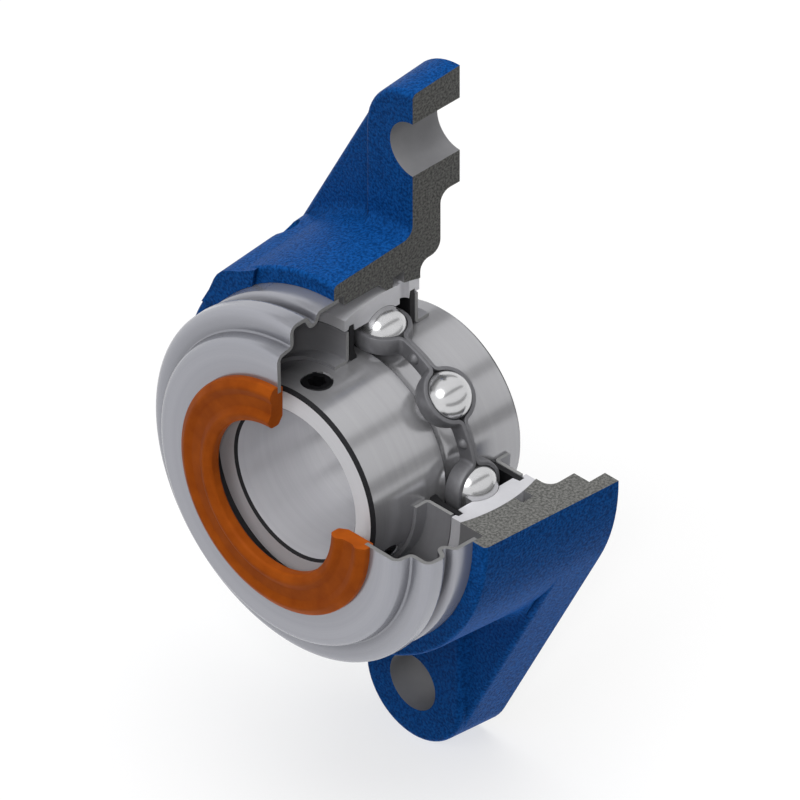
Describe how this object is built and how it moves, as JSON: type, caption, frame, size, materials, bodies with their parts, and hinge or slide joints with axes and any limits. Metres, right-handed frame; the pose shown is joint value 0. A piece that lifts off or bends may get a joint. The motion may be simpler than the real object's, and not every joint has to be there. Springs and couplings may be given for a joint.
{
  "type": "oval flange bearing",
  "caption": "Oval flange bearing with a quarter cut away to show its self-aligning ball insert, cage, seals and flingers, with a pressed end cover and its rubber lip ring.",
  "frame": {"origin": "on the shaft axis, in the plane of the rear mounting face", "axes": "+Y along the shaft axis towards the machine, the end cover faces -Y; +Z along the line of the bolt holes; +X to the right seen from the cover"},
  "size_m": [0.081, 0.0487, 0.1428],
  "materials": {
    "housing_paint": "blue paint over grainy cast iron",
    "ring_steel": "ground bearing steel",
    "ball_steel": "polished",
    "cage_steel": "dull pressed sheet",
    "blackened_steel": "blackened",
    "seal_rubber": "matte",
    "flinger_steel": "dark satin sheet",
    "cover_sheet": "bright pressed sheet",
    "brown_rubber": "satin orange-brown rubber"
  },
  "bodies": {
    "housing": {"housing": "housing_paint", "lube_plug": "blackened_steel", "end_cover": "cover_sheet", "cover_seal": "brown_rubber"},
    "outer_ring": {"outer_ring": "ring_steel", "front_seal": "seal_rubber", "rear_seal": "seal_rubber"},
    "inner_ring": {"inner_ring": "ring_steel", "set_screw_1": "blackened_steel", "set_screw_2": "blackened_steel", "front_flinger": "flinger_steel", "rear_flinger": "flinger_steel"},
    "cage": {"cage_front": "cage_steel", "cage_rear": "cage_steel", "cage_rivets": "cage_steel"},
    "ball_1": {"ball_1": "ball_steel"},
    "ball_2": {"ball_2": "ball_steel"},
    "ball_3": {"ball_3": "ball_steel"},
    "ball_4": {"ball_4": "ball_steel"},
    "ball_5": {"ball_5": "ball_steel"},
    "ball_6": {"ball_6": "ball_steel"},
    "ball_7": {"ball_7": "ball_steel"},
    "ball_8": {"ball_8": "ball_steel"}
  },
  "joints": [
    {"name": "self_align", "type": "hinge", "parent": "housing", "child": "outer_ring", "pos_m": [0, -0.0198, 0], "axis": [1, 0, 0], "range_deg": [-2, 2]},
    {"name": "shaft_turn", "type": "hinge", "parent": "outer_ring", "child": "inner_ring", "pos_m": [0, -0.0198, 0], "axis": [0, 1, 0], "continuous": true},
    {"name": "cage_turn", "type": "hinge", "parent": "outer_ring", "child": "cage", "pos_m": [0, -0.0198, 0], "axis": [0, 1, 0], "continuous": true},
    {"name": "ball_1_roll", "type": "hinge", "parent": "cage", "child": "ball_1", "pos_m": [0, -0.0198, 0.023], "axis": [0, 1, 0], "continuous": true},
    {"name": "ball_2_roll", "type": "hinge", "parent": "cage", "child": "ball_2", "pos_m": [0.01626, -0.0198, 0.01626], "axis": [0, 1, 0], "continuous": true},
    {"name": "ball_3_roll", "type": "hinge", "parent": "cage", "child": "ball_3", "pos_m": [0.023, -0.0198, 0], "axis": [0, 1, 0], "continuous": true},
    {"name": "ball_4_roll", "type": "hinge", "parent": "cage", "child": "ball_4", "pos_m": [0.01626, -0.0198, -0.01626], "axis": [0, 1, 0], "continuous": true},
    {"name": "ball_5_roll", "type": "hinge", "parent": "cage", "child": "ball_5", "pos_m": [0, -0.0198, -0.023], "axis": [0, 1, 0], "continuous": true},
    {"name": "ball_6_roll", "type": "hinge", "parent": "cage", "child": "ball_6", "pos_m": [-0.01626, -0.0198, -0.01626], "axis": [0, 1, 0], "continuous": true},
    {"name": "ball_7_roll", "type": "hinge", "parent": "cage", "child": "ball_7", "pos_m": [-0.023, -0.0198, 0], "axis": [0, 1, 0], "continuous": true},
    {"name": "ball_8_roll", "type": "hinge", "parent": "cage", "child": "ball_8", "pos_m": [-0.01626, -0.0198, 0.01626], "axis": [0, 1, 0], "continuous": true}
  ],
  "couplings": [
    {"joint": "cage_turn", "follows": "shaft_turn", "ratio": 0.39647},
    {"joint": "ball_1_roll", "follows": "shaft_turn", "ratio": -2.3112},
    {"joint": "ball_2_roll", "follows": "shaft_turn", "ratio": -2.3112},
    {"joint": "ball_3_roll", "follows": "shaft_turn", "ratio": -2.3112},
    {"joint": "ball_4_roll", "follows": "shaft_turn", "ratio": -2.3112},
    {"joint": "ball_5_roll", "follows": "shaft_turn", "ratio": -2.3112},
    {"joint": "ball_6_roll", "follows": "shaft_turn", "ratio": -2.3112},
    {"joint": "ball_7_roll", "follows": "shaft_turn", "ratio": -2.3112},
    {"joint": "ball_8_roll", "follows": "shaft_turn", "ratio": -2.3112}
  ]
}
